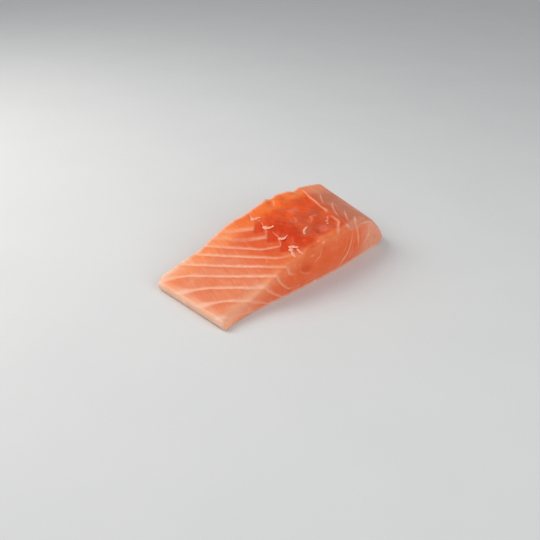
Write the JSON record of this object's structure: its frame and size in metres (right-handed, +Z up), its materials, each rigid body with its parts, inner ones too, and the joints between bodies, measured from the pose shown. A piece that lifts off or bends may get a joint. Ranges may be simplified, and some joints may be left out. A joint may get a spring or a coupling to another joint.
{
  "type": "raw salmon fillet",
  "caption": "Raw salmon fillet portion, cut straight across the side, with a thin belly edge, a thick back and a boned channel between them.",
  "frame": {"origin": "under the middle of the portion, on the flat face that it rests on", "axes": "+X from the thin belly edge to the thick back, +Y along the fish from the near cut to the far one, +Z up"},
  "size_m": [0.1508, 0.0578, 0.028],
  "materials": {
    "flesh": "moist satin, orange-pink, with pale lines of fat and tissue"
  },
  "bodies": {
    "root": {"fillet": "flesh"}
  },
  "joints": []
}
